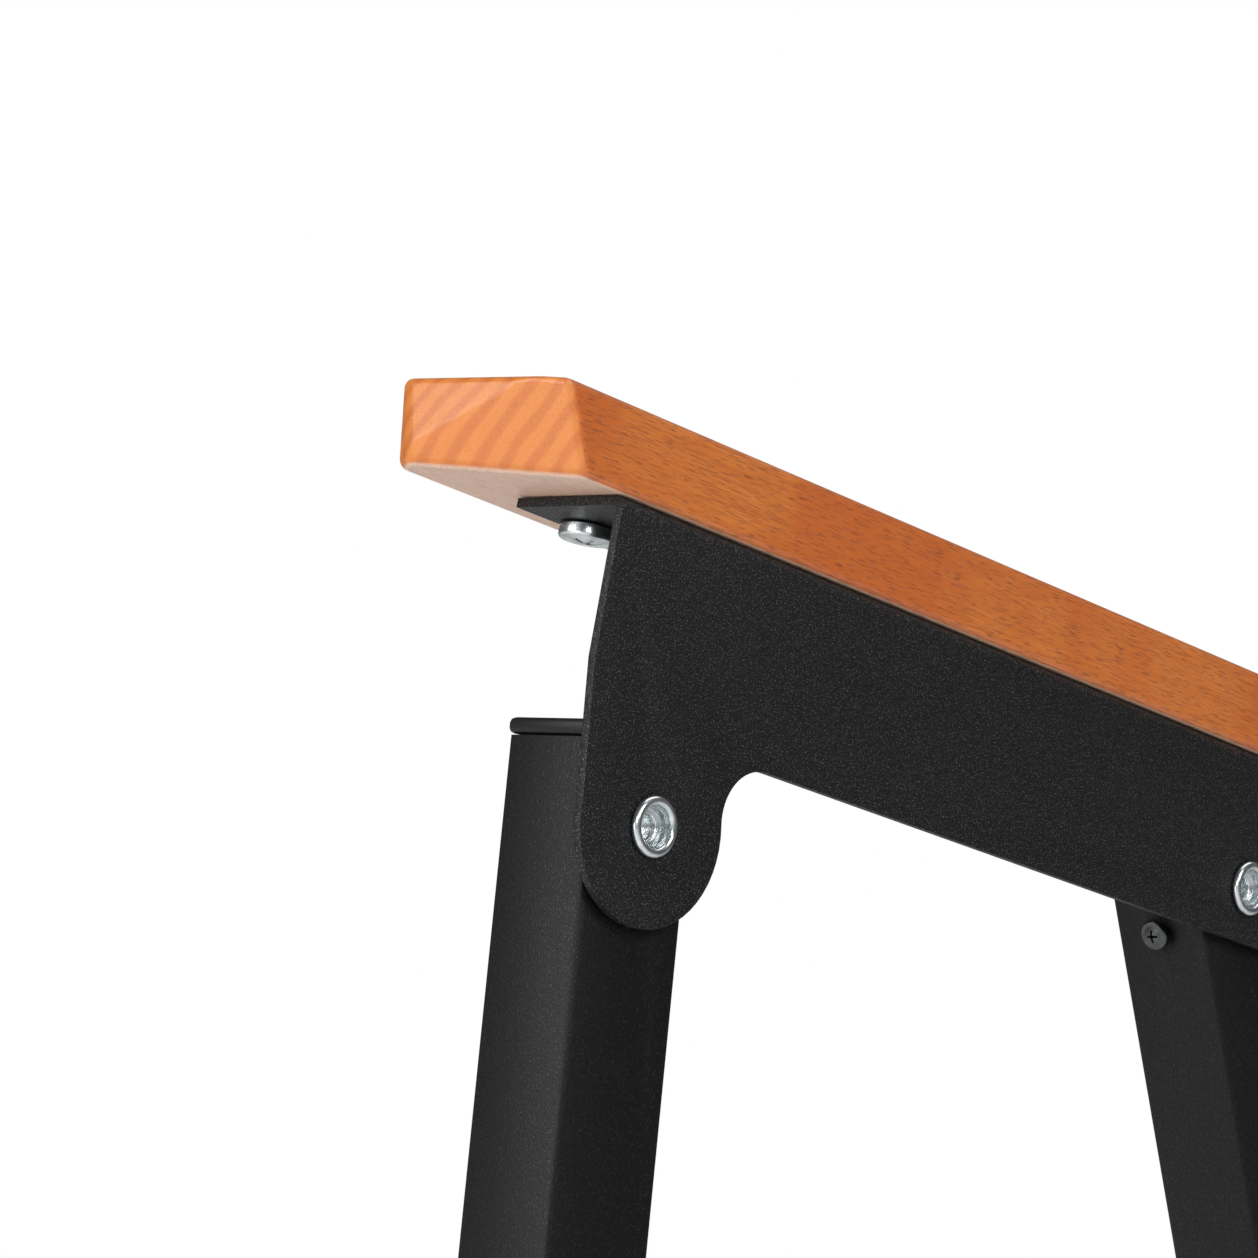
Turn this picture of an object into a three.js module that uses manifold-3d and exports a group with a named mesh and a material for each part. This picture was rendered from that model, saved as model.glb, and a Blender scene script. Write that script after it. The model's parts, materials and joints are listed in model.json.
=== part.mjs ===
// A folding sawhorse: a beech beam on two steel L-brackets, each with two cranked tube legs
// that fold up along the beam. Millimetres, +Z up, the origin on the floor under the beam's middle.
import * as THREE from 'three';
import { mergeVertices } from 'three/addons/utils/BufferGeometryUtils.js';
import Module from 'manifold-3d';

const wasm = await Module();
wasm.setup();

// ---- Driving dimensions ----
const HEIGHT = 700;
const GAP = 0.3;
// The beam's ends are sawn a little out of square, by `skew` over the beam's width.
const BEAM = { length: 1000, width: 44, thick: 18, edge: 1.5, skew: 3.5 };
// Each end corner is sawn off at a slant: the cut's reach along and across the beam, above and below.
const CORNER = {
  near: { top: [4, 5], bottom: [11, 33] },
  far: { top: [0.1, 0.1], bottom: [5, 8] },
};
const BRACKET = { inset: 26, length: 285, flange: 30, plate: 43.6, sheet: 2, bend: 2.6 };
const EAR = { x: 24.3, drop: 61.8, radius: 20.5, fillet: 11, slantStart: 33 };
const PIVOT_B = { x: 222.3, drop: 31 };
const TUBE = { wide: 30, deep: 25, wall: 1.5, corner: 1.8, play: 1.2, above: 16.2 };
const CRANK = { start: 110, angle: THREE.MathUtils.degToRad(17), radius: 70, steps: 6 };
const ROUND_SIDES = 20;
const LEAN = { a: THREE.MathUtils.degToRad(6.5), b: THREE.MathUtils.degToRad(30.1) };
const CAP = { lip: 0.5, thick: 3.3, round: 1.1, plug: 10 };
const FOOT = { wall: 3, grip: 26, clear: 18 };
const RIVET = { shank: 4, head: 6.3, headThick: 1.7, bore: 2.1, mouth: 3.3, mouthDepth: 1.1 };
const WASHER = { outer: 9, thick: 0.6 };
const WOOD_SCREW = { head: 6, headThick: 3.4, shank: 2, length: 15, inset: 23.5, along: [15, 130, 268] };
const STOP_SCREW = { head: 3.6, headThick: 2, shank: 1.5, length: 7, below: 6 };

// The brackets' top face: pivots hang from this level, and the beam lies a gap above it.
const RAIL_Z = HEIGHT - BEAM.thick - GAP;
const TUBE_Y = -BEAM.width / 2 + BRACKET.sheet + TUBE.play + TUBE.deep / 2;
const BRACKET_X = -BEAM.length / 2 + BRACKET.inset;

const finish = (color, roughness, metalness) =>
  new THREE.MeshStandardMaterial({ color, roughness, metalness });
const LOOK = {
  beech: finish(0xc98646, 0.4, 0),
  powder: finish(0x1b1b1c, 0.55, 0.1),
  plastic: finish(0x141414, 0.5, 0),
  rubber: finish(0x101010, 0.85, 0),
  zinc: finish(0xb9bcc0, 0.3, 1),
};

// ---- Cutting and joining ----
function solid(geometry) {
  const bare = geometry.clone();
  for (const name of Object.keys(bare.attributes)) {
    if (name !== 'position') bare.deleteAttribute(name);
  }
  const merged = mergeVertices(bare, 1e-4);
  const index = Uint32Array.from(merged.index.array);
  const vertProperties = merged.attributes.position.array;
  return new wasm.Manifold(new wasm.Mesh({ numProp: 3, vertProperties, triVerts: index }));
}

function geometryOf(manifold) {
  const mesh = manifold.getMesh();
  const geometry = new THREE.BufferGeometry();
  geometry.setAttribute('position', new THREE.BufferAttribute(Float32Array.from(mesh.vertProperties), 3));
  geometry.setIndex(new THREE.BufferAttribute(Uint32Array.from(mesh.triVerts), 1));
  return geometry;
}

function cut(geometry, cutters) {
  return geometryOf(cutters.reduce((body, cutter) => body.subtract(solid(cutter)), solid(geometry)));
}

function join(first, second) {
  return geometryOf(solid(first).add(solid(second)));
}

// ---- Shared shapes ----
// Corner points of a rounded rectangle, counter-clockwise, with a few points on each corner arc.
function roundedRing(width, depth, radius, steps = 2) {
  const ring = [];
  const corners = [[1, 1], [-1, 1], [-1, -1], [1, -1]];
  corners.forEach(([sx, sy], quarter) => {
    for (let step = 0; step <= steps; step += 1) {
      const turn = (quarter + step / steps) * Math.PI / 2;
      const x = sx * (width / 2 - radius) + radius * Math.cos(turn);
      const y = sy * (depth / 2 - radius) + radius * Math.sin(turn);
      ring.push(new THREE.Vector2(x, y));
    }
  });
  return ring;
}

function roundedBlock(width, depth, height, radius, round = 0) {
  const corner = Math.max(radius - round, 0.4);
  const shape = new THREE.Shape(roundedRing(width - 2 * round, depth - 2 * round, corner));
  const bevelEnabled = round > 0;
  const bevel = { bevelEnabled, bevelSize: round, bevelThickness: round, bevelSegments: 2 };
  return new THREE.ExtrudeGeometry(shape, { depth: height - 2 * round, ...bevel }).translate(0, 0, round);
}

function rodAlongY(radius, from, to) {
  return new THREE.CylinderGeometry(radius, radius, to - from, ROUND_SIDES).translate(0, (from + to) / 2, 0);
}

// A closed wall between rings: stations give each ring's centre and its section's Y direction.
function sweep(stations, rings) {
  const count = rings[0].length;
  const points = [];
  for (const ring of rings) {
    for (const { centre, side } of stations) {
      for (const p of ring) {
        points.push(centre.x + p.x, centre.y + side.y * p.y, centre.z + side.z * p.y);
      }
    }
  }
  const index = [];
  const at = (ring, station, i) => (ring * stations.length + station) * count + (i % count);
  const quad = (a, b, c, d) => index.push(a, b, c, a, c, d);
  const last = stations.length - 1;
  for (let i = 0; i < count; i += 1) {
    for (let s = 0; s < last; s += 1) {
      quad(at(0, s, i), at(0, s + 1, i), at(0, s + 1, i + 1), at(0, s, i + 1));
      quad(at(1, s, i), at(1, s, i + 1), at(1, s + 1, i + 1), at(1, s + 1, i));
    }
    quad(at(0, 0, i), at(0, 0, i + 1), at(1, 0, i + 1), at(1, 0, i));
    quad(at(0, last, i), at(1, last, i), at(1, last, i + 1), at(0, last, i + 1));
  }
  const geometry = new THREE.BufferGeometry();
  geometry.setAttribute('position', new THREE.Float32BufferAttribute(points, 3));
  geometry.setIndex(index);
  return geometry;
}

// ---- Beam ----
// What a corner loses: a stack of levels, each bounded by a line across the corner. The line turns
// from level to level, so the sawn facet is slightly twisted.
function cornerCutter({ top, bottom }) {
  const outside = -30;
  const least = 0.1;
  const overrun = 0.5;
  const drops = [-0.17, 0, 0.2, 0.4, 0.6, 0.8, 1, 1.17];
  const positions = [];
  for (const drop of drops) {
    const along = Math.max(least, top[0] + (bottom[0] - top[0]) * drop);
    const across = Math.max(least, top[1] + (bottom[1] - top[1]) * drop);
    const run = new THREE.Vector2(along, -across).setLength(overrun);
    const z = BEAM.thick * (1 - drop);
    positions.push(outside, outside, z, along + run.x, outside, z, along + run.x, run.y, z);
    positions.push(-run.x, across - run.y, z, outside, across - run.y, z);
  }
  const sides = 5;
  const index = [];
  for (let level = 0; level < drops.length - 1; level += 1) {
    for (let i = 0; i < sides; i += 1) {
      const j = (i + 1) % sides;
      const [upper, lower] = [level * sides, (level + 1) * sides];
      index.push(upper + i, lower + i, lower + j, upper + i, lower + j, upper + j);
    }
  }
  const floor = (drops.length - 1) * sides;
  for (let i = 1; i < sides - 1; i += 1) {
    index.push(0, i, i + 1, floor, floor + i + 1, floor + i);
  }
  const geometry = new THREE.BufferGeometry();
  geometry.setAttribute('position', new THREE.Float32BufferAttribute(positions, 3));
  geometry.setIndex(index);
  return geometry;
}

function beamGeometry() {
  const ring = roundedRing(BEAM.thick, BEAM.width, BEAM.edge);
  const straight = { depth: BEAM.length, bevelEnabled: false };
  const profile = new THREE.ExtrudeGeometry(new THREE.Shape(ring), straight);
  profile.rotateY(Math.PI / 2).translate(-BEAM.length / 2, 0, BEAM.thick / 2);
  const vertices = profile.attributes.position;
  for (let i = 0; i < vertices.count; i += 1) {
    const end = Math.sign(vertices.getX(i));
    const share = 0.5 + end * vertices.getY(i) / BEAM.width;
    vertices.setX(i, vertices.getX(i) - end * BEAM.skew * share);
  }
  const cutters = [];
  for (const turn of [0, Math.PI]) {
    const near = cornerCutter(CORNER.near).translate(-BEAM.length / 2 + BEAM.skew, -BEAM.width / 2, 0);
    const far = cornerCutter(CORNER.far);
    // The far corner's cutter is the near one's shape seen in a mirror across Y, with its faces turned back.
    far.scale(1, -1, 1);
    far.setIndex(Array.from(far.index.array).reverse());
    far.translate(-BEAM.length / 2, BEAM.width / 2, 0);
    for (const x of WOOD_SCREW.along) {
      const pilot = rodAlongY(WOOD_SCREW.shank + GAP, -1, WOOD_SCREW.length + GAP);
      pilot.rotateX(Math.PI / 2).translate(BRACKET_X + x, -BEAM.width / 2 + WOOD_SCREW.inset, 0);
      cutters.push(pilot.rotateZ(turn));
    }
    cutters.push(near.rotateZ(turn), far.rotateZ(turn));
  }
  return cut(profile, cutters);
}

// ---- Bracket: origin at its outer end, on the plate's outer face, level with the beam's underside ----
function bracketOutline() {
  const lower = -BRACKET.plate;
  const rise = EAR.drop - BRACKET.plate - EAR.fillet;
  const reach = EAR.radius + EAR.fillet;
  const filletX = EAR.x + Math.sqrt(reach ** 2 - rise ** 2);
  const filletTurn = Math.atan2(rise, filletX - EAR.x);
  const outline = new THREE.Shape();
  outline.moveTo(0, 5);
  outline.lineTo(0, -EAR.slantStart);
  outline.lineTo(EAR.x - EAR.radius, -EAR.drop);
  outline.absarc(EAR.x, -EAR.drop, EAR.radius, Math.PI, 2 * Math.PI + filletTurn, false);
  outline.absarc(filletX, lower - EAR.fillet, EAR.fillet, Math.PI + filletTurn, Math.PI / 2, true);
  outline.lineTo(BRACKET.length - 4, lower);
  outline.absarc(BRACKET.length - 4, lower + 4, 4, -Math.PI / 2, 0, false);
  outline.lineTo(BRACKET.length, 5);
  return outline;
}

function bracketGeometry() {
  const { sheet, bend, flange, length } = BRACKET;
  const deep = EAR.drop + EAR.radius + 5;
  const section = new THREE.Shape();
  section.moveTo(0, -deep);
  section.lineTo(0, -bend);
  section.absarc(bend, -bend, bend, Math.PI, Math.PI / 2, true);
  section.lineTo(flange, 0);
  section.lineTo(flange, -sheet);
  section.lineTo(bend, -sheet);
  section.absarc(bend, -bend, bend - sheet, Math.PI / 2, Math.PI, false);
  section.lineTo(sheet, -deep);
  const fold = new THREE.ExtrudeGeometry(section, { depth: length, bevelEnabled: false, curveSegments: 3 });
  // The section's own X runs across the beam and its Y runs up, so turn its depth along the beam.
  fold.applyMatrix4(new THREE.Matrix4().set(0, 0, 1, 0, 1, 0, 0, 0, 0, 1, 0, 0, 0, 0, 0, 1));
  const through = { depth: flange + 10, bevelEnabled: false, curveSegments: 14 };
  const blank = new THREE.ExtrudeGeometry(bracketOutline(), through);
  blank.rotateX(Math.PI / 2).translate(0, flange + 5, 0);
  const holes = [[EAR.x, EAR.drop], [PIVOT_B.x, PIVOT_B.drop]].map(([x, drop]) =>
    rodAlongY(RIVET.shank + GAP, -5, 8).translate(x, 0, -drop));
  for (const x of WOOD_SCREW.along) {
    const hole = rodAlongY(WOOD_SCREW.shank + GAP, -5, 5).rotateX(Math.PI / 2);
    holes.push(hole.translate(x, WOOD_SCREW.inset, 0));
  }
  return cut(geometryOf(solid(fold).intersect(solid(blank))), holes);
}

// ---- Legs: origin at the pivot, straight down -Z at first, then cranked towards -Y ----
const tangentOut = new THREE.Vector3(0, -Math.sin(CRANK.angle), -Math.cos(CRANK.angle));

// The centre line's point and section direction at a length past the crank's corner.
function lowerStation(length) {
  const centre = new THREE.Vector3(0, 0, -CRANK.start).addScaledVector(tangentOut, length);
  return { centre, side: new THREE.Vector3(0, Math.cos(CRANK.angle), -Math.sin(CRANK.angle)) };
}

function legStations(above, lowerLength) {
  const stations = [{ centre: new THREE.Vector3(0, 0, above), side: new THREE.Vector3(0, 1, 0) }];
  const setback = CRANK.radius * Math.tan(CRANK.angle / 2);
  for (let step = 0; step <= CRANK.steps; step += 1) {
    const turn = CRANK.angle * step / CRANK.steps;
    const y = -CRANK.radius * (1 - Math.cos(turn));
    const z = -CRANK.start + setback - CRANK.radius * Math.sin(turn);
    const side = new THREE.Vector3(0, Math.cos(turn), -Math.sin(turn));
    stations.push({ centre: new THREE.Vector3(0, y, z), side });
  }
  stations.push(lowerStation(lowerLength));
  return stations;
}

function legTube(lowerLength, stopScrew) {
  const outer = roundedRing(TUBE.wide, TUBE.deep, TUBE.corner);
  const inner = roundedRing(TUBE.wide - 2 * TUBE.wall, TUBE.deep - 2 * TUBE.wall, TUBE.corner - TUBE.wall);
  const tube = sweep(legStations(TUBE.above, lowerLength), [outer, inner]);
  const cutters = [rodAlongY(RIVET.shank + GAP, -TUBE.deep, TUBE.deep)];
  if (stopScrew) {
    const hole = rodAlongY(STOP_SCREW.shank + GAP, -8, 8).rotateZ(Math.PI / 2);
    cutters.push(hole.translate(-TUBE.wide / 2, 0, -STOP_SCREW.below));
  }
  return cut(tube, cutters);
}

function capGeometry() {
  const { lip, thick, round, plug } = CAP;
  const lid = roundedBlock(TUBE.wide + 2 * lip, TUBE.deep + 2 * lip, thick, TUBE.corner + lip, round);
  const slack = 2 * (TUBE.wall + GAP);
  const stem = roundedBlock(TUBE.wide - slack, TUBE.deep - slack, plug + 1, 1);
  return join(lid, stem.translate(0, 0, -plug));
}

// The rubber shoe grips the tube's end, and its sole is cut level with the floor.
function footGeometry(lowerLength, floorBox) {
  const place = (block, length) => {
    const { centre } = lowerStation(length);
    return block.rotateX(-CRANK.angle).translate(centre.x, centre.y, centre.z);
  };
  const reach = FOOT.grip + 3 * FOOT.clear;
  const grow = (by) => [TUBE.wide + 2 * by, TUBE.deep + 2 * by];
  const outer = roundedBlock(...grow(FOOT.wall), reach, TUBE.corner + FOOT.wall);
  const shoe = place(outer.translate(0, 0, FOOT.grip - reach), lowerLength);
  const socket = roundedBlock(...grow(GAP), FOOT.grip + 10 + GAP, TUBE.corner + GAP);
  return cut(shoe, [place(socket.translate(0, 0, -GAP), lowerLength), floorBox]);
}

// ---- Fasteners: each is turned about its own axis, +Y pointing into the work ----
function rivetGeometry() {
  const { shank, head, headThick, bore, mouth, mouthDepth } = RIVET;
  const gripEnd = BRACKET.sheet + TUBE.play + TUBE.deep + WASHER.thick + 2 * GAP;
  const profile = [
    [mouth, -headThick], [head - 0.6, -headThick], [head, -headThick + 0.7], [head - 0.3, -GAP],
    [shank, -GAP],
    [shank, gripEnd], [head - 0.4, gripEnd], [head - 1, gripEnd + 1.5], [bore, gripEnd + 1.5],
    [bore, mouthDepth - headThick], [mouth, mouthDepth - headThick],
  ];
  const points = profile.map(([r, y]) => new THREE.Vector2(r, y));
  return new THREE.LatheGeometry([...points, points[0].clone()], ROUND_SIDES);
}

function washerGeometry() {
  const bore = RIVET.shank + GAP;
  const { outer, thick } = WASHER;
  const points = [[bore, 0], [outer, 0], [outer, thick], [bore, thick], [bore, 0]];
  return new THREE.LatheGeometry(points.map(([r, y]) => new THREE.Vector2(r, y)), ROUND_SIDES);
}

// A pan head with a cross recess, and a plain pointed shank.
function screwGeometry({ head, headThick, shank, length }) {
  const top = -headThick;
  const profile = [
    [0, top], [head * 0.45, top + headThick * 0.05], [head * 0.8, top + headThick * 0.25],
    [head * 0.97, top + headThick * 0.6], [head, 0], [shank, 0], [shank, length - shank], [0, length],
  ];
  const body = new THREE.LatheGeometry(profile.map(([r, y]) => new THREE.Vector2(r, y)), ROUND_SIDES);
  const slots = [[head * 0.95, head * 0.2], [head * 0.2, head * 0.95]].map(([x, z]) =>
    new THREE.BoxGeometry(x, headThick, z).translate(0, top, 0));
  return cut(body, slots);
}

// ---- Assembly ----
const sawhorse = new THREE.Group();

function addMesh(parent, name, geometry, look, position = [0, 0, 0], rotation = [0, 0, 0]) {
  const mesh = new THREE.Mesh(geometry, look);
  mesh.name = name;
  mesh.position.set(...position);
  mesh.rotation.set(...rotation);
  parent.add(mesh);
}

function addLeg(side, name, letter, pivot) {
  const lean = LEAN[letter];
  const leg = new THREE.Group();
  leg.position.set(BRACKET_X + pivot.x, TUBE_Y, RAIL_Z - pivot.drop);
  leg.rotation.y = -lean;
  side.add(leg);
  leg.updateMatrix();
  // The floor, seen from the leg's own frame.
  const floorBox = new THREE.BoxGeometry(400, 400, 200).translate(0, 0, -100);
  const floorCentre = ((RAIL_Z - pivot.drop) / Math.cos(lean) - CRANK.start) / Math.cos(CRANK.angle);
  const touch = lowerStation(floorCentre).centre.applyMatrix4(leg.matrix);
  floorBox.translate(touch.x, touch.y, 0).applyMatrix4(leg.matrix.clone().invert());
  const lowerLength = floorCentre - FOOT.clear;
  const isB = letter === 'b';
  addMesh(leg, `leg_${name}`, legTube(lowerLength, isB), LOOK.powder);
  addMesh(leg, `cap_${name}`, capGeometry(), LOOK.plastic, [0, 0, TUBE.above + GAP]);
  addMesh(leg, `foot_${name}`, footGeometry(lowerLength, floorBox), LOOK.rubber);
  if (isB) {
    const position = [-TUBE.wide / 2 - GAP, 0, -STOP_SCREW.below];
    addMesh(leg, `stop_screw_${name}`, screwGeometry(STOP_SCREW), LOOK.zinc, position, [0, 0, -Math.PI / 2]);
  }
}

function addSide(sideName, turn) {
  const side = new THREE.Group();
  side.rotation.z = turn;
  sawhorse.add(side);
  const faceY = -BEAM.width / 2;
  addMesh(side, `bracket_${sideName}`, bracketGeometry(), LOOK.powder, [BRACKET_X, faceY, RAIL_Z]);
  WOOD_SCREW.along.forEach((x, i) => {
    const position = [BRACKET_X + x, faceY + WOOD_SCREW.inset, RAIL_Z - BRACKET.sheet - GAP];
    const name = `wood_screw_${sideName}_${i + 1}`;
    addMesh(side, name, screwGeometry(WOOD_SCREW), LOOK.zinc, position, [Math.PI / 2, 0, 0]);
  });
  const pivots = { a: { x: EAR.x, drop: EAR.drop }, b: PIVOT_B };
  for (const [letter, pivot] of Object.entries(pivots)) {
    const name = `${letter}_${sideName}`;
    const x = BRACKET_X + pivot.x;
    const z = RAIL_Z - pivot.drop;
    addLeg(side, name, letter, pivot);
    addMesh(side, `rivet_${name}`, rivetGeometry(), LOOK.zinc, [x, faceY, z]);
    addMesh(side, `spacer_${name}`, washerGeometry(), LOOK.zinc, [x, faceY + BRACKET.sheet + GAP, z]);
    const backY = TUBE_Y + TUBE.deep / 2 + GAP;
    addMesh(side, `back_washer_${name}`, washerGeometry(), LOOK.zinc, [x, backY, z]);
  }
}

addMesh(sawhorse, 'beam', beamGeometry(), LOOK.beech, [0, 0, RAIL_Z + GAP]);
addSide('near', 0);
addSide('far', Math.PI);

export default sawhorse;
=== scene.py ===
# %% [markdown]
# # A folding sawhorse
#
# A sawhorse like this one is a plank of varnished beech carried by two folded steel brackets. Each
# bracket holds two cranked tube legs on tubular rivets, and the legs fold up along the plank. The packed
# model already holds every part at its true place, so the script below makes the visible surfaces:
# rounded edges, pressed and turned fasteners, and a finish for each material.

import json
import math

import bpy
from mathutils import Matrix, Vector


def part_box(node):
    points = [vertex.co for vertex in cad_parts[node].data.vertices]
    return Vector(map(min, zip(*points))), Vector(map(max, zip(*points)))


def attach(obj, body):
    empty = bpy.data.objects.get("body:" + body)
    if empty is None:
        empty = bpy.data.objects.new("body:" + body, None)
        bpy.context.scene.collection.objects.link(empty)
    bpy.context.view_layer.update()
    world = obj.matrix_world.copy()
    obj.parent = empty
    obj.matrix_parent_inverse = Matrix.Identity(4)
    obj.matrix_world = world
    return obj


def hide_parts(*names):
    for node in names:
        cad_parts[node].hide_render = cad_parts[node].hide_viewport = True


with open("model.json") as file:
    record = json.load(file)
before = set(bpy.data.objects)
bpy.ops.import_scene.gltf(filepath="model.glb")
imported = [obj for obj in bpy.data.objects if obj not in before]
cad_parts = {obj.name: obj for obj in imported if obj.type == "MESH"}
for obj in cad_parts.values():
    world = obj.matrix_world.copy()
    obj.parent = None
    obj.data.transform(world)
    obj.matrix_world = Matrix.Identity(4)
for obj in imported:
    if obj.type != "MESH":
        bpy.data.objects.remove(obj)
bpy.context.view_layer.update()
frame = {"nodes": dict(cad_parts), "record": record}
MM = 0.001
SIDES = {"near": 1, "far": -1}
LEGS = {"a": "outer", "b": "inner"}


def middle(node):
    low, high = (Vector(corner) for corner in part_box(node))
    return (low + high) / 2


# %% [markdown]
# ## The camera
#
# The view is a close one of the near end, from a little below the plank and with the camera rolled, so
# the plank runs downhill across the frame. The camera is placed from the outer pivot: its direction, its
# roll, its distance, and how far the pivot lies off the middle of the frame.

# %% Place the camera
AZIMUTH = math.radians(45.30)
ELEVATION = math.radians(10.51)
ROLL = math.radians(10.28)
DISTANCE = 0.9236
PIVOT_RIGHT = 4.6 * MM
PIVOT_DOWN = 39.4 * MM
LENS = 132.7
SENSOR = 36.0

low, high = (Vector(corner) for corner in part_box("rivet_a_near"))
pivot = Vector(((low.x + high.x) / 2, low.y + 1.7 * MM, (low.z + high.z) / 2))
forward = Vector((
    math.sin(AZIMUTH) * math.cos(ELEVATION),
    math.cos(AZIMUTH) * math.cos(ELEVATION),
    math.sin(ELEVATION),
))
level = Vector((math.cos(AZIMUTH), -math.sin(AZIMUTH), 0))
upright = level.cross(forward)
right = level * math.cos(ROLL) + upright * math.sin(ROLL)
up = right.cross(forward)
camera = bpy.data.objects.new("camera", bpy.data.cameras.new("camera"))
camera.data.lens = LENS
camera.data.sensor_width = SENSOR
camera.data.clip_start = 0.01
bpy.context.scene.collection.objects.link(camera)
location = pivot - PIVOT_RIGHT * right + PIVOT_DOWN * up - DISTANCE * forward
turn = Matrix((right, up, -forward)).transposed().to_4x4()
camera.matrix_world = Matrix.Translation(location) @ turn
bpy.context.scene.camera = camera
print("camera at", tuple(round(value, 3) for value in location))

# %% [markdown]
# ## The light
#
# A white room and a few lamps. One stands behind and to the left, so the end of the plank and the left
# faces of the tubes are lighter than the faces towards the camera. Two small ones, lower down, add glints.


# %% Hang the lamps
def add_lamp(name, place, aim, power, size):
    lamp = bpy.data.objects.new(name, bpy.data.lights.new(name, "AREA"))
    lamp.data.energy = power
    lamp.data.size = size
    lamp.location = place
    lamp.rotation_euler = (Vector(aim) - Vector(place)).to_track_quat("-Z", "Y").to_euler()
    bpy.context.scene.collection.objects.link(lamp)


add_lamp("left_lamp", (-2.1, 0.7, 1.1), pivot, 17, 1.0)
add_lamp("edge_lamp", (-1.69, -1.28, 0.94), pivot, 8, 0.3)
add_lamp("glint_lamp", (-1.94, 0.06, 0.33), pivot, 6, 0.4)
add_lamp("front_lamp", (-0.9, -2.3, 2.0), pivot, 31, 1.2)
add_lamp("top_lamp", (0.0, 0.0, 2.4), (0, 0, 0.6), 14, 1.6)

# The room is seen as white, but it lights the dark parts only weakly, so they keep their depth.
ROOM_GLOW = 0.12
world = bpy.data.worlds.new("white_room")
world.use_nodes = True
room = world.node_tree
seen = room.nodes["Background"]
seen.inputs["Color"].default_value = (1, 1, 1, 1)
glow = room.nodes.new("ShaderNodeBackground")
glow.inputs["Color"].default_value = (1, 1, 1, 1)
glow.inputs["Strength"].default_value = ROOM_GLOW
either = room.nodes.new("ShaderNodeMixShader")
room.links.new(room.nodes.new("ShaderNodeLightPath").outputs["Is Camera Ray"], either.inputs[0])
room.links.new(glow.outputs[0], either.inputs[1])
room.links.new(seen.outputs[0], either.inputs[2])
room.links.new(either.outputs[0], room.nodes["World Output"].inputs["Surface"])
bpy.context.scene.world = world
bpy.context.scene.view_settings.view_transform = "Standard"

FLOOR_SIZE = 60
FLOOR_DROP = 0.5 * MM
bpy.ops.mesh.primitive_plane_add(size=FLOOR_SIZE, location=(0, 0, -FLOOR_DROP))
floor = bpy.context.object
floor.name = "floor"

# %% [markdown]
# ## Shader maths as Python
#
# A finish is easiest to read as arithmetic. `Value` wraps one socket, and adding or multiplying two of
# them puts down a Math node. `Finish` owns a material, and its `node` method makes any other node.


# %% Define the shader helpers
class Value:
    def __init__(self, finish, socket):
        self.finish = finish
        self.socket = socket

    def math(self, operation, other, swap=False):
        pair = [other, self] if swap else [self, other]
        made = self.finish.node("ShaderNodeMath", {"operation": operation}, {0: pair[0], 1: pair[1]})
        return self.finish.value(made)

    def __add__(self, other):
        return self.math("ADD", other)

    __radd__ = __add__

    def __sub__(self, other):
        return self.math("SUBTRACT", other)

    def __rsub__(self, other):
        return self.math("SUBTRACT", other, swap=True)

    def __mul__(self, other):
        return self.math("MULTIPLY", other)

    __rmul__ = __mul__

    def above(self, edge, width):
        """0 below edge, 1 above edge + width, with a soft step between."""
        settings = {"interpolation_type": "SMOOTHSTEP"}
        inputs = {"Value": self, "From Min": edge, "From Max": edge + width}
        return self.finish.value(self.finish.node("ShaderNodeMapRange", settings, inputs))


class Finish:
    def __init__(self, name, **plain):
        self.material = bpy.data.materials.new(name)
        self.material.use_nodes = True
        self.nodes = self.material.node_tree.nodes
        self.links = self.material.node_tree.links
        self.shader = self.nodes["Principled BSDF"]
        for socket, number in plain.items():
            self.shader.inputs[socket.replace("_", " ")].default_value = number

    def node(self, kind, settings=None, inputs=None):
        made = self.nodes.new(kind)
        for name, setting in (settings or {}).items():
            setattr(made, name, setting)
        for key, given in (inputs or {}).items():
            self.feed(made.inputs[key], given)
        return made

    def feed(self, socket, given):
        if isinstance(given, Value):
            given = given.socket
        if isinstance(given, bpy.types.NodeSocket):
            self.links.new(given, socket)
        else:
            socket.default_value = given

    def value(self, node, output=0):
        return Value(self, node.outputs[output])

    def place(self, scale=(1, 1, 1), turn=(0, 0, 0)):
        coordinates = self.node("ShaderNodeTexCoord").outputs["Object"]
        inputs = {"Vector": coordinates, "Scale": scale, "Rotation": turn}
        return self.node("ShaderNodeMapping", None, inputs).outputs[0]

    def noise(self, scale, detail=3.0, roughness=0.5):
        inputs = {"Vector": self.place(scale), "Scale": 1.0, "Detail": detail, "Roughness": roughness}
        return self.value(self.node("ShaderNodeTexNoise", None, inputs), "Fac")

    def mix(self, factor, first, second):
        made = self.node("ShaderNodeMix", {"data_type": "RGBA"}, {0: factor})
        self.feed(made.inputs[6], first)
        self.feed(made.inputs[7], second)
        return made.outputs[2]

    def facing(self, axis):
        """The surface normal's part along an axis, from -1 to 1."""
        normal = self.node("ShaderNodeTexCoord").outputs["Normal"]
        return self.value(self.node("ShaderNodeSeparateXYZ", None, {0: normal}), axis)

    def bump(self, height, distance, strength):
        inputs = {"Height": height, "Distance": distance, "Strength": strength}
        made = self.node("ShaderNodeBump", None, inputs)
        self.feed(self.shader.inputs["Normal"], made.outputs[0])


# %% [markdown]
# ## Beech under varnish
#
# Beech is an even, warm wood with short dark flecks along the grain. Growth rings show as pale
# and dark bands: drawn out on the sides and diagonal on the sawn end. Rings are worked out in depth, as
# the slanted layers of a thick tree, so one field gives both, and the varnish is a clear coat.


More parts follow.
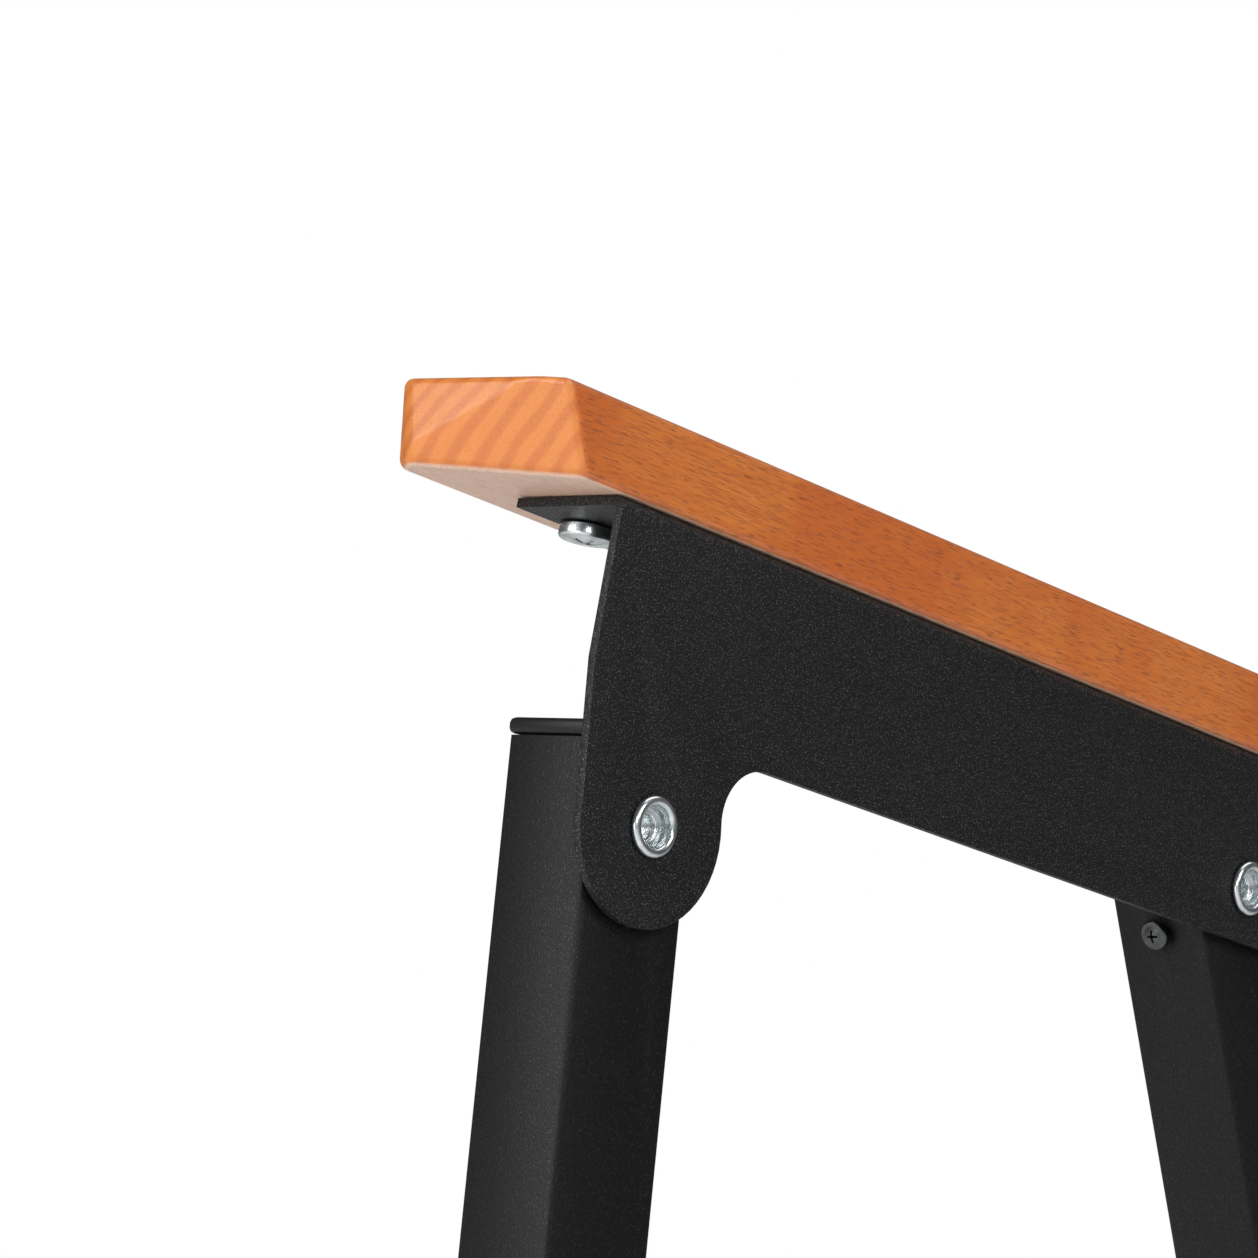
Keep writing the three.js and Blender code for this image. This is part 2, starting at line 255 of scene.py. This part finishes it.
# %% Make the beech
def make_beech():
    wood = Finish("beech_varnish", Roughness=0.36, Coat_Weight=0.25, Coat_Roughness=0.14)
    wander = wood.noise((5, 40, 40), 4)
    # The tree's middle is far off, so its rings cross the plank's end as slanted, nearly straight bands.
    across = wood.place(turn=(math.radians(-42), 0, 0))
    slope = wood.value(wood.node("ShaderNodeSeparateXYZ", None, {0: across}), 1)
    rings = wood.value(wood.node("ShaderNodeMath", {"operation": "SINE"}, {0: slope * 1450 + wander * 7.0}))
    band = rings.above(-0.5, 1.4)
    fibre = wood.noise((60, 1500, 1500), 3, 0.6)
    blotch = wood.noise((17, 11, 13), 3, 0.6)
    fleck = wood.noise((290, 4600, 4600), 0.0, 0.4).above(0.63, 0.06)
    fine = wood.noise((900, 2600, 2600), 2)
    end = wood.facing("X")
    end = (end * end).above(0.08, 0.2)
    # Faces turned down are painted pale grey-pink below: painted light, standing for the floor's bounce
    # onto the underside.
    under = (0 - wood.facing("Z")).above(0.75, 0.2)

    pale = (0.68, 0.218, 0.045, 1)
    deep = (0.54, 0.142, 0.026, 1)
    red = (0.50, 0.100, 0.016, 1)
    side = wood.mix(fibre.above(0.3, 0.45) * 0.8, deep, pale)
    side = wood.mix(band * 0.25, side, deep)
    side = wood.mix(blotch.above(0.46, 0.14) * 0.6, side, red)
    side = wood.mix(fleck * 0.5, side, (0.16, 0.035, 0.010, 1))
    ends = ((0.64, 0.205, 0.036, 1), (0.52, 0.130, 0.020, 1))
    grain_end = wood.mix(band * 0.7 + fine.above(0.4, 0.3) * 0.2, *ends)
    colour = wood.mix(end, side, grain_end)
    # The pale underside colour is painted bounce light from the floor; the flecks in it are the wood's own.
    bounce_lit_underside = wood.mix(fleck * 0.5, (0.78, 0.54, 0.41, 1), (0.40, 0.19, 0.10, 1))
    colour = wood.mix(under * 0.9, colour, bounce_lit_underside)
    wood.feed(wood.shader.inputs["Base Color"], colour)
    wood.feed(wood.shader.inputs["Roughness"], 0.30 + fibre * 0.16 + end * 0.04)
    wood.bump(fine * 0.35 + fibre * 0.5 - fleck * 1.2, 0.00012, 0.6)
    return wood.material


# %% [markdown]
# ## Powder coat, plastic, rubber and zinc
#
# Powder coat is a baked skin with a fine, pebbled texture that glints grain by grain. A small bump and
# an uneven roughness give that, and the glinting grains are also painted lighter, as painted highlights.
# Zinc is bright and slightly cloudy, plastic is fine-grained, rubber dull.


# %% Make the other finishes
def make_powder_coat(name, shade, glint_paint, depth, gloss):
    coat = Finish(name, Specular_IOR_Level=gloss)
    pebble = coat.noise((1900, 1900, 1900), 2, 0.6)
    grain = coat.noise((3000, 3000, 3000), 1)
    broad = coat.noise((22, 22, 22), 3)
    glint = grain.above(0.54, 0.12) * pebble.above(0.38, 0.2)
    darker, lighter = shade * 0.8, shade * 1.2
    cool = 1.05
    base = coat.mix(broad, (darker, darker, darker * cool, 1), (lighter, lighter, lighter * cool, 1))
    # The glinting grains are painted lighter in base colour: painted highlights, beside their real lower
    # roughness.
    coat.feed(coat.shader.inputs["Base Color"], coat.mix(glint * glint_paint, base, (0.09, 0.09, 0.095, 1)))
    coat.feed(coat.shader.inputs["Roughness"], 0.47 + broad * 0.08 - glint * 0.2)
    coat.bump(pebble + grain * 0.4, depth, 0.6)
    return coat.material


def make_plastic():
    plastic = Finish("moulded_plastic", Specular_IOR_Level=0.3)
    grain = plastic.noise((1600, 1600, 1600), 2)
    broad = plastic.noise((60, 60, 60), 2)
    plastic.feed(plastic.shader.inputs["Base Color"],
                 plastic.mix(broad, (0.005, 0.005, 0.006, 1), (0.009, 0.009, 0.010, 1)))
    plastic.feed(plastic.shader.inputs["Roughness"], 0.38 + grain * 0.14)
    plastic.bump(grain, 0.00006, 0.4)
    return plastic.material


def make_rubber():
    rubber = Finish("rubber", Specular_IOR_Level=0.35)
    grain = rubber.noise((1300, 1300, 1300), 3)
    dust = rubber.noise((45, 45, 90), 4).above(0.52, 0.2)
    place = rubber.node("ShaderNodeSeparateXYZ", None, {0: rubber.place()})
    low_down = 1 - rubber.value(place, 2).above(0, 0.03)
    rubber.feed(rubber.shader.inputs["Base Color"],
                rubber.mix(dust * low_down * 0.6, (0.014, 0.014, 0.014, 1), (0.07, 0.065, 0.06, 1)))
    rubber.feed(rubber.shader.inputs["Roughness"], 0.72 + grain * 0.16)
    rubber.bump(grain, 0.0001, 0.5)
    return rubber.material


def make_zinc(name, shade):
    zinc = Finish(name, Metallic=1.0)
    cloud = zinc.noise((420, 420, 420), 4, 0.6)
    scratch = zinc.noise((3500, 300, 3500), 2)
    dull = (0.58 * shade, 0.62 * shade, 0.64 * shade, 1)
    bright = (0.76 * shade, 0.79 * shade, 0.79 * shade, 1)
    tint = zinc.mix(cloud.above(0.35, 0.35), dull, bright)
    zinc.feed(zinc.shader.inputs["Base Color"], tint)
    zinc.feed(zinc.shader.inputs["Roughness"], 0.21 + cloud * 0.06 + scratch * 0.03)
    zinc.bump(scratch + cloud, 0.000004, 0.3)
    return zinc.material


FINISHES = {
    "beech": make_beech(),
    # The tubes' coat is a little darker than the brackets', and its painted glints are a fifth as strong.
    "powder_coat": make_powder_coat("coarse_powder_coat", 0.003, 1.0, 0.00030, 0.3),
    "tube_coat": make_powder_coat("fine_powder_coat", 0.0025, 0.2, 0.00016, 0.25),
    "plastic": make_plastic(),
    "rubber": make_rubber(),
    "zinc": make_zinc("bright_zinc", 1.0),
    # The stop screws' zinc is painted far darker: painted shade, for the shadow they sit in under the
    # bracket's plate.
    "shade_darkened_zinc": make_zinc("painted_shade_zinc", 0.14),
}
print("finishes:", ", ".join(FINISHES))

# %% [markdown]
# ## Tools of the bench
#
# Operators act on whatever is selected, so every step starts by selecting exactly one piece. `finish`
# hands a piece to its body, its slot and its finish, and hides the CAD node that it stands for.


# %% Define the bench tools
BODY_OF = {node: body for body, nodes in frame["record"]["behaviour"]["bodies"].items() for node in nodes}
SLOT_OF = {row["node"]: row["material_slot"] for row in frame["record"]["subparts"]}


def pick(piece):
    bpy.ops.object.select_all(action="DESELECT")
    piece.select_set(True)
    bpy.context.view_layer.objects.active = piece


def edit(piece, *steps):
    """Runs steps in edit mode with everything selected first."""
    pick(piece)
    bpy.ops.object.mode_set(mode="EDIT")
    bpy.ops.mesh.select_all(action="SELECT")
    for step in steps:
        step()
    bpy.ops.object.mode_set(mode="OBJECT")


def apply_modifier(piece, kind, **settings):
    pick(piece)
    modifier = piece.modifiers.new(kind.lower(), kind)
    for name, setting in settings.items():
        setattr(modifier, name, setting)
    bpy.ops.object.modifier_apply(modifier=modifier.name)


def settle(piece):
    pick(piece)
    bpy.ops.object.transform_apply(location=True, rotation=True, scale=True)


def smooth(piece, degrees):
    """Shades a piece smooth, except over edges that turn by more than this."""
    pick(piece)
    bpy.ops.object.shade_smooth_by_angle(angle=math.radians(degrees))


def finish(piece, name, node, look=None):
    piece.name = name
    piece.data.name = name
    piece.data.materials.clear()
    piece.data.materials.append(FINISHES[look or SLOT_OF[node]])
    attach(piece, BODY_OF[node])
    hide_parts(node)
    print(name, len(piece.data.polygons), "faces")


# %% [markdown]
# ## Sheet, tube and rubber with real edges
#
# A CAD solid has knife edges, and nothing real does. A rolled tube has rounded corners, a pressed sheet
# a small burr-free round, and a moulded shoe a soft one. A copy of each solid is merged, its flat faces
# are made whole again, and a Bevel modifier rounds every edge that turns sharply.


# %% Round the edges of the large pieces
MERGE = 0.02 * MM
FLAT = math.radians(1)
SHARP = math.radians(30)


def rounded_copy(node, radius, segments):
    pick(frame["nodes"][node])
    bpy.ops.object.duplicate()
    piece = bpy.context.object
    edit(
        piece,
        lambda: bpy.ops.mesh.remove_doubles(threshold=MERGE),
        lambda: bpy.ops.mesh.dissolve_limited(angle_limit=FLAT),
    )
    apply_modifier(
        piece, "BEVEL", width=radius, segments=segments, limit_method="ANGLE",
        angle_limit=SHARP, use_clamp_overlap=True, miter_outer="MITER_ARC",
    )
    smooth(piece, 35)
    return piece


SHOWN = {"bracket": "angle_bracket", "leg": "leg_tube", "cap": "end_cap", "foot": "rubber_shoe"}
EDGE_ROUND = {"bracket": (0.45 * MM, 3), "leg": (0.3 * MM, 2), "cap": (0.25 * MM, 2), "foot": (1.6 * MM, 4)}
for side in SIDES:
    for kind in ("bracket", "leg", "cap", "foot"):
        names = [side] if kind == "bracket" else [f"{letter}_{side}" for letter in LEGS]
        for name in names:
            node = f"{kind}_{name}"
            radius, segments = EDGE_ROUND[kind]
            piece = rounded_copy(node, radius, segments)
            finish(piece, f"{SHOWN[kind]}_{name}", node, "tube_coat" if kind == "leg" else None)

# %% [markdown]
# ## The plank
#
# A plank is sawn first and sanded after. So it starts as a cube of the plank's size, its ends are moved a
# little out of square, its corners are sawn off with the bisect tool, and one Bevel rounds every edge.

# %% Saw and sand the plank
SKEW = 3.5 * MM
# Each saw cut goes through three points, measured from its corner: along, across and up, in millimetres.
NEAR_CUT = [(0, 5, 18), (0, 33, 0), (11, 0, 0)]
FAR_CUT = [(0, -3.2, 18), (0, -8, 0), (5, 0, 0)]
SANDED = 1.8 * MM
GENTLEST_RIDGE = math.radians(8)
HAIR = 0.001 * MM


def saw_off(plank, corner, points, turn):
    """Cuts a corner off along the plane through three points, after a turn about the plank's middle."""
    first, second, third = (corner + Vector(point) * MM for point in points)
    outward = (second - first).cross(third - first).normalized()
    if outward.x > 0:
        outward = -outward
    place, facing = turn @ first, turn @ outward
    edit(plank, lambda: bpy.ops.mesh.bisect(
        plane_co=place, plane_no=facing, use_fill=True, clear_outer=True, threshold=HAIR,
    ))


low, high = (Vector(corner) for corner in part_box("beam"))
bpy.ops.object.select_all(action="DESELECT")
bpy.ops.mesh.primitive_cube_add(size=1, location=(low + high) / 2, scale=high - low)
plank = bpy.context.object
settle(plank)
for vertex in plank.data.vertices:
    end = math.copysign(1, vertex.co.x)
    vertex.co.x -= end * SKEW * (0.5 + end * vertex.co.y / (high.y - low.y))
for turn in (Matrix.Identity(3), Matrix.Rotation(math.pi, 3, "Z")):
    saw_off(plank, Vector((low.x + SKEW, low.y, low.z)), NEAR_CUT, turn)
    saw_off(plank, Vector((low.x, high.y, low.z)), FAR_CUT, turn)
apply_modifier(
    plank, "BEVEL", width=SANDED, segments=5, limit_method="ANGLE", angle_limit=GENTLEST_RIDGE,
    use_clamp_overlap=True,
)
smooth(plank, 35)
apply_modifier(plank, "WEIGHTED_NORMAL", weight=100, keep_sharp=True)
finish(plank, "beech_plank", "beam")

# %% [markdown]
# ## Tubular rivets
#
# A tubular rivet is a hollow pin whose rim is rolled over. Its face is a soft ring round a stepped
# hole. It is turned from a profile, as on a lathe: the profile is drawn as edges, spun, and closed.


# %% Turn the rivets
def turned(name, profile, steps):
    """Spins a profile of (radius, height) about Z. It closes on itself, or starts and ends on the axis."""
    mesh = bpy.data.meshes.new(name)
    points = [(radius * MM, 0, height * MM) for radius, height in profile]
    loop = [(i, i + 1) for i in range(len(points) - 1)]
    if profile[0][0] > 0:
        loop.append((len(points) - 1, 0))
    mesh.from_pydata(points, loop, [])
    piece = bpy.data.objects.new(name, mesh)
    bpy.context.scene.collection.objects.link(piece)
    edit(
        piece,
        lambda: bpy.ops.mesh.spin(steps=steps, angle=2 * math.pi, center=(0, 0, 0), axis=(0, 0, 1)),
        lambda: bpy.ops.mesh.select_all(action="SELECT"),
        lambda: bpy.ops.mesh.remove_doubles(threshold=2 * HAIR),
        lambda: bpy.ops.mesh.normals_make_consistent(inside=False),
    )
    smooth(piece, 40)
    return piece


def arc(centre, radius, start, end, steps):
    """Points of an arc in (radius, height), with angles in degrees."""
    turns = [math.radians(start + (end - start) * i / steps) for i in range(steps + 1)]
    return [(centre[0] + radius * math.cos(t), centre[1] + radius * math.sin(t)) for t in turns]


def rivet_profile(length):
    """The head's face is at height 0 and the rivet runs down; length is its whole length."""
    under = -1.4
    foot = [(0, -length), (5.0, -length)]
    rolled_end = arc((5.2, -length + 0.8), 0.8, -90, 60, 5)
    neck = [(4.0, -length + 1.5), (4.0, under), (5.7, under)]
    rim = arc((5.25, -1.05), 1.05, -15, 170, 16)
    mouth = [(4.0, -1.8), (3.75, -3.1)]
    step = arc((3.0, -3.7), 0.5, 60, 140, 5)
    well = [(2.4, -4.1), (2.2, -5.6)]
    dimple = arc((0, -7.6), 2.2, 60, 90, 4)
    return foot + rolled_end + neck + rim + mouth + step + well + dimple


def along_y(piece, middle_point, face_y, outward):
    """Turns a piece from facing +Z to facing along Y, and moves its face to face_y."""
    piece.rotation_euler = (math.radians(90) * -outward, 0, 0)
    piece.location = (middle_point.x, face_y, middle_point.z)
    settle(piece)


for side, sign in SIDES.items():
    for letter in LEGS:
        node = f"rivet_{letter}_{side}"
        low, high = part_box(node)
        length = (high[1] - low[1]) / MM
        rivet = turned(node, rivet_profile(length), 64)
        face_y = low[1] if sign > 0 else high[1]
        along_y(rivet, middle(node), face_y, -sign)
        finish(rivet, f"tubular_rivet_{letter}_{side}", node)

# %% [markdown]
# ## Pan-head screws
#
# The wood screws and the small stop screws have a domed pan head with a cross recess. The head
# is turned, and the recess is cut with a tapered cross, so its walls lean in as a driver's tip does.


# %% Make the screws
SCREW_EDGE = 0.07 * MM


def cross_cutter(reach, width, depth):
    """A pair of tapered blades, pointing down from height 0."""
    cutter = None
    for turned_by in (0, math.pi / 2):
        bpy.ops.object.select_all(action="DESELECT")
        bpy.ops.mesh.primitive_cube_add(size=1, location=(0, 0, -depth / 2 + 0.2))
        blade = bpy.context.object
        blade.scale = (2 * reach, width, depth + 0.4)
        blade.rotation_euler = (0, 0, turned_by)
        settle(blade)
        for vertex in blade.data.vertices:
            if vertex.co.z < -depth / 2:
                vertex.co.x *= 0.55
                vertex.co.y *= 0.55
        blade.data.transform(Matrix.Scale(MM, 4))
        if cutter is None:
            cutter = blade
        else:
            apply_modifier(cutter, "BOOLEAN", operation="UNION", object=blade, solver="EXACT")
            bpy.data.objects.remove(blade)
    return cutter


def pan_screw(name, head, thick, shank, length):
    """A screw whose head's face is at height 0, running down."""
    dome = arc((0, -thick - head * 0.9), head * 0.9 + thick, 90, 62, 5)
    rim = arc((head - 0.9, -1.35), 0.9, 55, 0, 4)
    profile = dome + rim + [(head, -thick + 0.25), (head - 0.25, -thick), (shank, -thick)]
    pitch = 1.4 if shank > 1.6 else 0.8
    turns = int((length - 3) / pitch)
    for i in range(turns):
        z = -thick - 1.2 - i * pitch
        profile += [(shank * 0.78, z), (shank, z - pitch * 0.45), (shank * 0.78, z - pitch * 0.9)]
    profile += [(shank * 0.7, -thick - length + shank), (0, -thick - length)]
    screw = turned(name, profile, 48)
    cutter = cross_cutter(head * 0.52, head * 0.17, min(thick * 0.75, 2.2))
    apply_modifier(screw, "BOOLEAN", operation="DIFFERENCE", object=cutter, solver="EXACT")
    bpy.data.objects.remove(cutter)
    apply_modifier(
        screw, "BEVEL", width=SCREW_EDGE, segments=2, limit_method="ANGLE", angle_limit=math.radians(40),
    )
    smooth(screw, 40)
    return screw


WOOD_HEAD = {"head": 6.0, "thick": 3.4, "shank": 2.0, "length": 15.0}
STOP_HEAD = {"head": 3.6, "thick": 2.0, "shank": 1.5, "length": 7.0}
for side in SIDES:
    for number in (1, 2, 3):
        node = f"wood_screw_{side}_{number}"
        low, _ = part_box(node)
        screw = pan_screw(node, **WOOD_HEAD)
        # Each screw was driven until tight, so its cross stops at an angle of its own.
        screw.rotation_euler = (math.pi, 0, math.radians(25 + 50 * number))
        centre = middle(node)
        screw.location = (centre.x, centre.y, low[2])
        settle(screw)
        finish(screw, f"pan_head_screw_{side}_{number}", node)

# %% Drive the stop screws
LEAN_B = math.radians(30.1)
for side, sign in SIDES.items():
    node = f"stop_screw_b_{side}"
    screw = pan_screw(node, **STOP_HEAD)
    # The head faces back along the beam, square to the inner leg's side.
    facing = Vector((-math.cos(LEAN_B) * sign, 0, -math.sin(LEAN_B)))
    half = (STOP_HEAD["thick"] + STOP_HEAD["length"]) / 2 * MM
    screw.rotation_euler = facing.to_track_quat("Z", "Y").to_euler()
    screw.location = middle(node) + facing * half
    settle(screw)
    # The head gets the darkened zinc, painted shade for its shadowed place under the plate.
    finish(screw, f"stop_screw_head_{side}", node, "shade_darkened_zinc")

# %% [markdown]
# ## Washers
#
# The washers keep their CAD solids, because a flat ring of zinc needs nothing more than its finish.

# %% Finish the washers
for side in SIDES:
    for letter in LEGS:
        for kind in ("spacer", "back_washer"):
            washer = frame["nodes"][f"{kind}_{letter}_{side}"]
            for material_slot in washer.material_slots:
                material_slot.material = FINISHES["zinc"]
            print(washer.name, "keeps its solid")

# %% [markdown]
#
# The floor is a plain pale sheet.

# %% Finish the floor
pale = Finish("pale_floor", Roughness=0.8, Emission_Color=(1, 1, 1, 1), Emission_Strength=0.22)
shade = pale.mix(pale.noise((3, 3, 3)), (0.80, 0.80, 0.80, 1), (0.83, 0.83, 0.83, 1))
pale.feed(pale.shader.inputs["Base Color"], shade)
floor.data.materials.append(pale.material)
